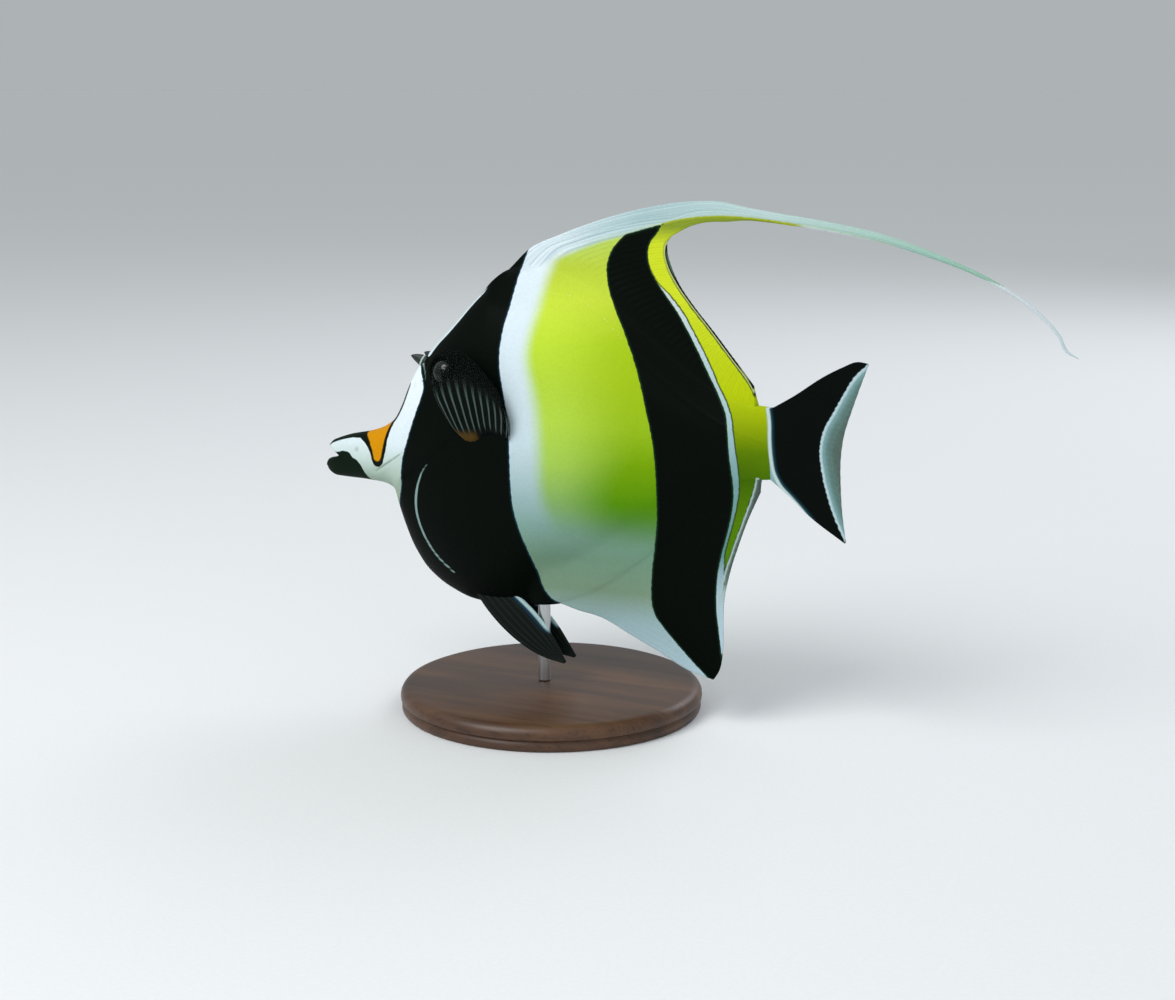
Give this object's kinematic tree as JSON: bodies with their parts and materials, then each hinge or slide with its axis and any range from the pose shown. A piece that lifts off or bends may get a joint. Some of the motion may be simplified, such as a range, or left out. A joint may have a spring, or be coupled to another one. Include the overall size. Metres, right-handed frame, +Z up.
{
  "type": "moorish idol fish model",
  "caption": "Still life-size model of a moorish idol fish, a flat tall reef fish with a long trailing back-fin thread, on a plain round display stand.",
  "frame": {"origin": "centre of the underside of the stand's base", "axes": "-X the way the snout points, +X towards the tail, +Z up; the fish's left side faces -Y"},
  "size_m": [0.2433, 0.096, 0.1608],
  "materials": {
    "white_skin": "satin painted skin, white",
    "black_skin": "satin painted skin, black",
    "yellow_skin": "satin painted skin, yellow",
    "fin_membrane": "thin translucent fin, dark",
    "eye": "wet glossy",
    "horn": "smooth, dark",
    "stand_base": "dark stained, satin",
    "stand_rod": "brushed"
  },
  "bodies": {
    "root": {"snout": "white_skin", "lower_jaw": "black_skin", "head": "white_skin", "gill_cover_left": "black_skin", "gill_cover_right": "black_skin", "eye_left": "eye", "eye_right": "eye", "horn_left": "horn", "horn_right": "horn", "trunk": "yellow_skin", "tail_stem": "yellow_skin", "dorsal_fin": "yellow_skin", "dorsal_filament_base": "white_skin", "dorsal_filament_tip": "white_skin", "anal_fin": "black_skin", "caudal_fin": "black_skin", "pectoral_fin_left": "fin_membrane", "pectoral_fin_right": "fin_membrane", "pelvic_fin_left": "black_skin", "pelvic_fin_right": "black_skin", "stand_rod": "stand_rod", "stand_base": "stand_base"}
  },
  "joints": []
}
